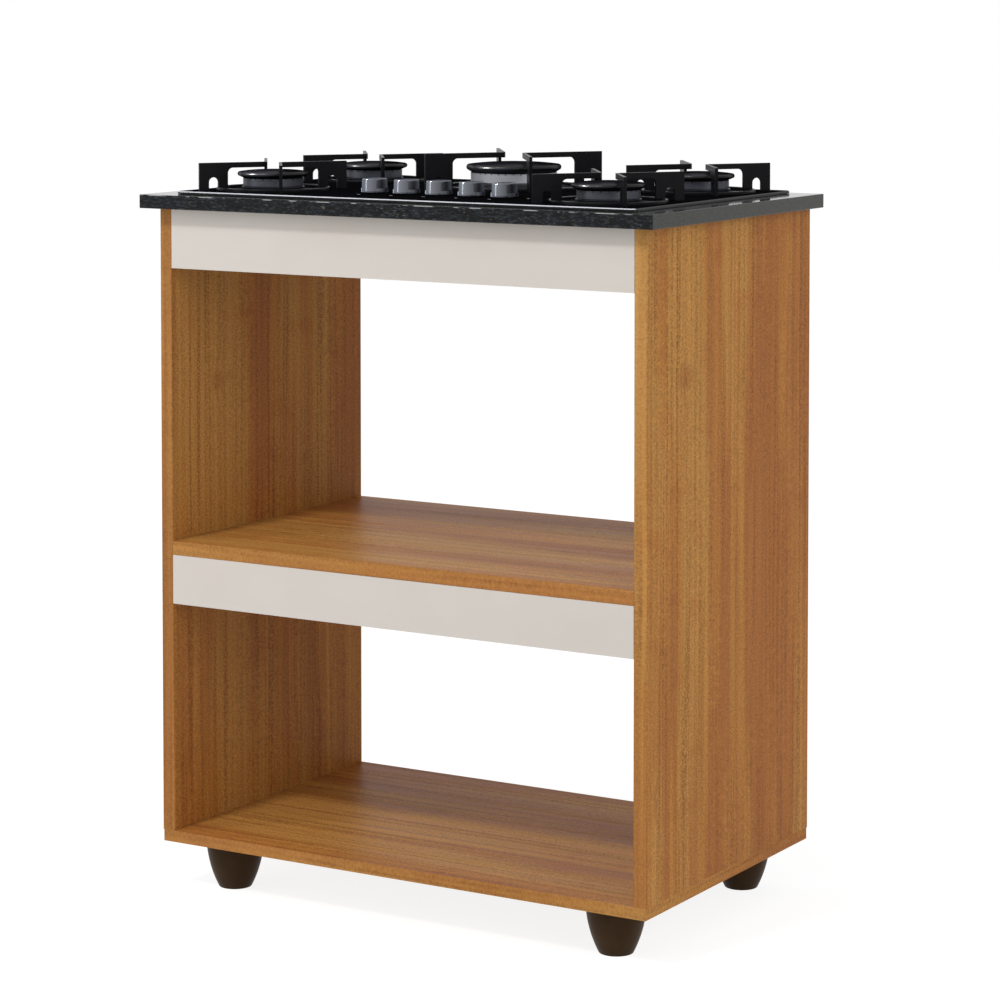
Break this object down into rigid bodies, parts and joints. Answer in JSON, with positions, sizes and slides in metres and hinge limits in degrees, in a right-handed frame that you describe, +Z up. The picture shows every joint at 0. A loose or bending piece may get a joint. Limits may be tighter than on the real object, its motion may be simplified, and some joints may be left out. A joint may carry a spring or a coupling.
{
  "type": "cooktop base cabinet",
  "caption": "Open kitchen base cabinet of wood-look board on round feet, with two bays for appliances, a dark worktop and a built-in gas cooktop with pan supports and knobs.",
  "frame": {"origin": "on the floor under the middle of the worktop's footprint", "axes": "+X to the right along the front, +Y to the back, +Z up"},
  "size_m": [0.756, 0.468, 0.9637],
  "materials": {
    "carcass_board": "satin honey-brown wood-look coated board with a vertical grain",
    "rail_board": "satin off-white coated board",
    "worktop_board": "dark granite-look laminate on board, gloss",
    "foot_plastic": "satin dark brown moulded plastic",
    "dowel_wood": "plain beech",
    "steel_fastener": "zinc-plated steel",
    "cooktop_glass": "black toughened glass, satin gloss",
    "seal_foam": "black foam rubber",
    "tray_steel": "zinc-coated sheet",
    "enamel": "black vitreous enamel on steel, satin",
    "burner_aluminium": "cast aluminium, satin grey",
    "tap_brass": "turned brass",
    "pipe_steel": "plain steel pipe",
    "feed_aluminium": "soft aluminium tube",
    "knob_plastic": "silver-grey painted plastic, satin"
  },
  "bodies": {
    "cabinet": {"side_left": "carcass_board", "side_right": "carcass_board", "base_panel": "carcass_board", "middle_shelf": "carcass_board", "upper_front_rail": "rail_board", "lower_front_rail": "rail_board", "upper_rear_rail": "rail_board", "lower_rear_rail": "rail_board", "worktop": "worktop_board", "wood_dowels": "dowel_wood", "cam_bolts": "steel_fastener", "cam_locks": "steel_fastener", "base_screws": "steel_fastener", "foot_screws": "steel_fastener", "worktop_brackets": "steel_fastener", "short_screws": "steel_fastener", "foot_front_left": "foot_plastic", "foot_front_right": "foot_plastic", "foot_rear_left": "foot_plastic", "foot_rear_right": "foot_plastic", "cooktop_plate": "cooktop_glass", "cooktop_seal": "seal_foam", "cooktop_tray": "tray_steel", "cooktop_clamps": "steel_fastener", "gas_manifold": "pipe_steel", "gas_inlet": "tap_brass", "feed_tubes": "feed_aluminium", "tap_bodies": "tap_brass", "drip_dishes": "enamel", "burner_cups": "burner_aluminium"},
    "tap_plug_left_front": {"tap_plug_left_front": "tap_brass"},
    "knob_left_front": {"spindle_left_front": "steel_fastener", "knob_left_front": "knob_plastic"},
    "pan_support_left_front": {"pan_support_left_front": "enamel"},
    "cap_left_front": {"cap_left_front": "enamel"},
    "crown_left_front": {"crown_left_front": "burner_aluminium"},
    "tap_plug_left_rear": {"tap_plug_left_rear": "tap_brass"},
    "knob_left_rear": {"spindle_left_rear": "steel_fastener", "knob_left_rear": "knob_plastic"},
    "pan_support_left_rear": {"pan_support_left_rear": "enamel"},
    "cap_left_rear": {"cap_left_rear": "enamel"},
    "crown_left_rear": {"crown_left_rear": "burner_aluminium"},
    "tap_plug_centre": {"tap_plug_centre": "tap_brass"},
    "knob_centre": {"spindle_centre": "steel_fastener", "knob_centre": "knob_plastic"},
    "pan_support_centre": {"pan_support_centre": "enamel"},
    "cap_centre": {"cap_centre": "enamel"},
    "crown_centre": {"crown_centre": "burner_aluminium"},
    "tap_plug_right_rear": {"tap_plug_right_rear": "tap_brass"},
    "knob_right_rear": {"spindle_right_rear": "steel_fastener", "knob_right_rear": "knob_plastic"},
    "pan_support_right_rear": {"pan_support_right_rear": "enamel"},
    "cap_right_rear": {"cap_right_rear": "enamel"},
    "crown_right_rear": {"crown_right_rear": "burner_aluminium"},
    "tap_plug_right_front": {"tap_plug_right_front": "tap_brass"},
    "knob_right_front": {"spindle_right_front": "steel_fastener", "knob_right_front": "knob_plastic"},
    "pan_support_right_front": {"pan_support_right_front": "enamel"},
    "cap_right_front": {"cap_right_front": "enamel"},
    "crown_right_front": {"crown_right_front": "burner_aluminium"}
  },
  "joints": [
    {"name": "turn_left_front", "type": "hinge", "parent": "cabinet", "child": "tap_plug_left_front", "pos_m": [-0.0974, -0.105, 0.9], "axis": [0, 0, 1], "range_deg": [0, 210]},
    {"name": "push_left_front", "type": "slide", "parent": "tap_plug_left_front", "child": "knob_left_front", "axis": [0, 0, -1], "range_m": [0, 0.0012], "stiffness_N_per_m": 600, "springref_m": -0.003},
    {"name": "lift_support_left_front", "type": "slide", "parent": "cabinet", "child": "pan_support_left_front", "axis": [0, 0, 1], "range_m": [0, 0.16]},
    {"name": "lift_cap_left_front", "type": "slide", "parent": "cabinet", "child": "cap_left_front", "axis": [0, 0, 1], "range_m": [0, 0.112]},
    {"name": "lift_crown_left_front", "type": "slide", "parent": "cabinet", "child": "crown_left_front", "axis": [0, 0, 1], "range_m": [0, 0.072]},
    {"name": "turn_left_rear", "type": "hinge", "parent": "cabinet", "child": "tap_plug_left_rear", "pos_m": [-0.0487, -0.105, 0.9], "axis": [0, 0, 1], "range_deg": [0, 210]},
    {"name": "push_left_rear", "type": "slide", "parent": "tap_plug_left_rear", "child": "knob_left_rear", "axis": [0, 0, -1], "range_m": [0, 0.0012], "stiffness_N_per_m": 600, "springref_m": -0.003},
    {"name": "lift_support_left_rear", "type": "slide", "parent": "cabinet", "child": "pan_support_left_rear", "axis": [0, 0, 1], "range_m": [0, 0.16]},
    {"name": "lift_cap_left_rear", "type": "slide", "parent": "cabinet", "child": "cap_left_rear", "axis": [0, 0, 1], "range_m": [0, 0.112]},
    {"name": "lift_crown_left_rear", "type": "slide", "parent": "cabinet", "child": "crown_left_rear", "axis": [0, 0, 1], "range_m": [0, 0.072]},
    {"name": "turn_centre", "type": "hinge", "parent": "cabinet", "child": "tap_plug_centre", "pos_m": [0, -0.105, 0.9], "axis": [0, 0, 1], "range_deg": [0, 210]},
    {"name": "push_centre", "type": "slide", "parent": "tap_plug_centre", "child": "knob_centre", "axis": [0, 0, -1], "range_m": [0, 0.0012], "stiffness_N_per_m": 600, "springref_m": -0.003},
    {"name": "lift_support_centre", "type": "slide", "parent": "cabinet", "child": "pan_support_centre", "axis": [0, 0, 1], "range_m": [0, 0.16]},
    {"name": "lift_cap_centre", "type": "slide", "parent": "cabinet", "child": "cap_centre", "axis": [0, 0, 1], "range_m": [0, 0.112]},
    {"name": "lift_crown_centre", "type": "slide", "parent": "cabinet", "child": "crown_centre", "axis": [0, 0, 1], "range_m": [0, 0.072]},
    {"name": "turn_right_rear", "type": "hinge", "parent": "cabinet", "child": "tap_plug_right_rear", "pos_m": [0.0487, -0.105, 0.9], "axis": [0, 0, 1], "range_deg": [0, 210]},
    {"name": "push_right_rear", "type": "slide", "parent": "tap_plug_right_rear", "child": "knob_right_rear", "axis": [0, 0, -1], "range_m": [0, 0.0012], "stiffness_N_per_m": 600, "springref_m": -0.003},
    {"name": "lift_support_right_rear", "type": "slide", "parent": "cabinet", "child": "pan_support_right_rear", "axis": [0, 0, 1], "range_m": [0, 0.16]},
    {"name": "lift_cap_right_rear", "type": "slide", "parent": "cabinet", "child": "cap_right_rear", "axis": [0, 0, 1], "range_m": [0, 0.112]},
    {"name": "lift_crown_right_rear", "type": "slide", "parent": "cabinet", "child": "crown_right_rear", "axis": [0, 0, 1], "range_m": [0, 0.072]},
    {"name": "turn_right_front", "type": "hinge", "parent": "cabinet", "child": "tap_plug_right_front", "pos_m": [0.0974, -0.105, 0.9], "axis": [0, 0, 1], "range_deg": [0, 210]},
    {"name": "push_right_front", "type": "slide", "parent": "tap_plug_right_front", "child": "knob_right_front", "axis": [0, 0, -1], "range_m": [0, 0.0012], "stiffness_N_per_m": 600, "springref_m": -0.003},
    {"name": "lift_support_right_front", "type": "slide", "parent": "cabinet", "child": "pan_support_right_front", "axis": [0, 0, 1], "range_m": [0, 0.16]},
    {"name": "lift_cap_right_front", "type": "slide", "parent": "cabinet", "child": "cap_right_front", "axis": [0, 0, 1], "range_m": [0, 0.112]},
    {"name": "lift_crown_right_front", "type": "slide", "parent": "cabinet", "child": "crown_right_front", "axis": [0, 0, 1], "range_m": [0, 0.072]}
  ],
  "couplings": [
    {"joint": "lift_cap_left_front", "follows": "lift_support_left_front", "ratio": 0.7},
    {"joint": "lift_crown_left_front", "follows": "lift_support_left_front", "ratio": 0.45},
    {"joint": "lift_cap_left_rear", "follows": "lift_support_left_rear", "ratio": 0.7},
    {"joint": "lift_crown_left_rear", "follows": "lift_support_left_rear", "ratio": 0.45},
    {"joint": "lift_cap_centre", "follows": "lift_support_centre", "ratio": 0.7},
    {"joint": "lift_crown_centre", "follows": "lift_support_centre", "ratio": 0.45},
    {"joint": "lift_cap_right_rear", "follows": "lift_support_right_rear", "ratio": 0.7},
    {"joint": "lift_crown_right_rear", "follows": "lift_support_right_rear", "ratio": 0.45},
    {"joint": "lift_cap_right_front", "follows": "lift_support_right_front", "ratio": 0.7},
    {"joint": "lift_crown_right_front", "follows": "lift_support_right_front", "ratio": 0.45}
  ]
}
